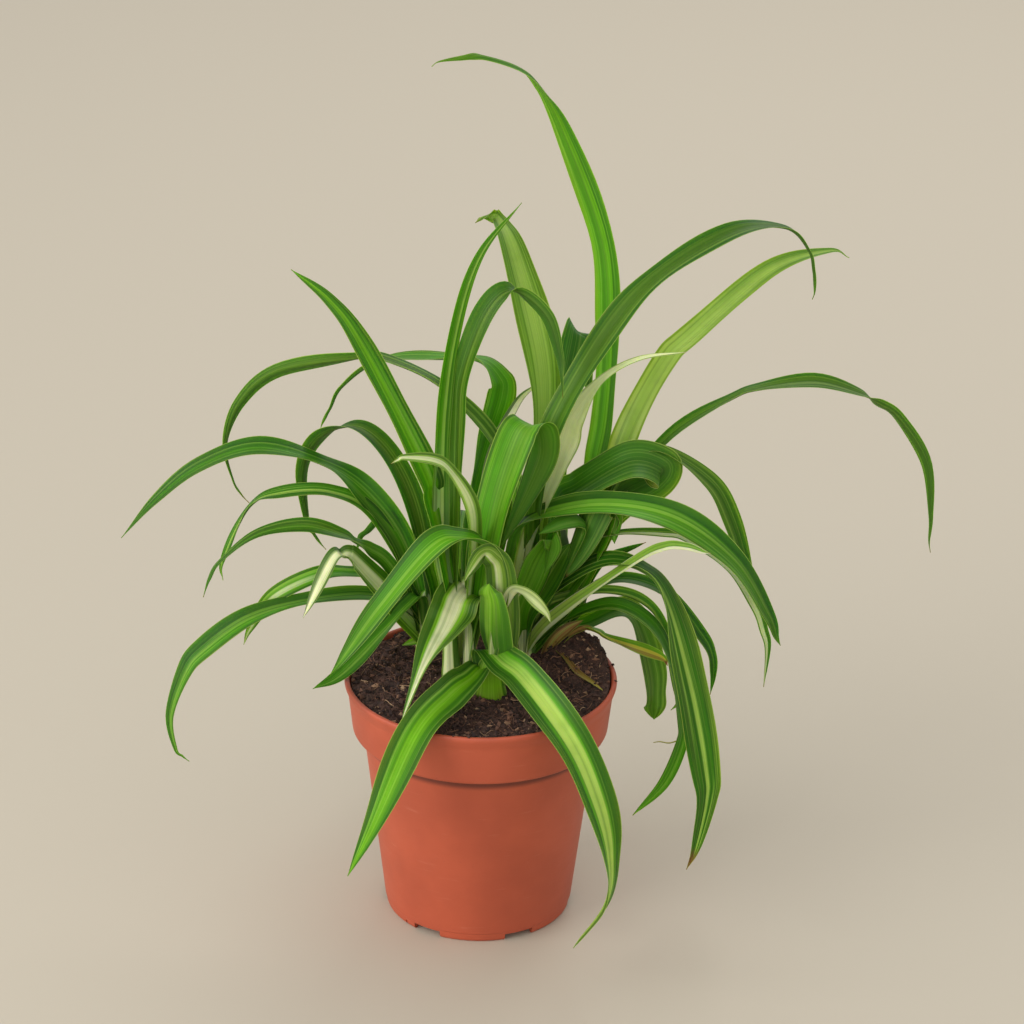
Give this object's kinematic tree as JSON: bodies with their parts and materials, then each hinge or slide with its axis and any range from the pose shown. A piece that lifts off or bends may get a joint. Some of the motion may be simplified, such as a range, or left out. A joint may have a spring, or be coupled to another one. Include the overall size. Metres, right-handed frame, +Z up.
{
  "type": "potted spider plant",
  "caption": "Spider plant with long arching striped leaves, growing in compost in a round plastic nursery pot with a banded rim.",
  "frame": {"origin": "centre of the pot's base, on the surface that the pot stands on", "axes": "+Z up along the pot's axis, -Y towards the front of the plant, +X to the viewer's right"},
  "size_m": [0.3673, 0.2847, 0.3742],
  "materials": {
    "terracotta_plastic": "matte terracotta-orange polypropylene",
    "compost": "damp fibrous peat compost, matt",
    "leaf": "satin living leaf, striped cream and green lengthways"
  },
  "bodies": {
    "root": {"pot": "terracotta_plastic", "compost": "compost", "crown_front": "leaf", "crown_middle": "leaf", "crown_left": "leaf", "crown_right": "leaf", "crown_back": "leaf"}
  },
  "joints": []
}
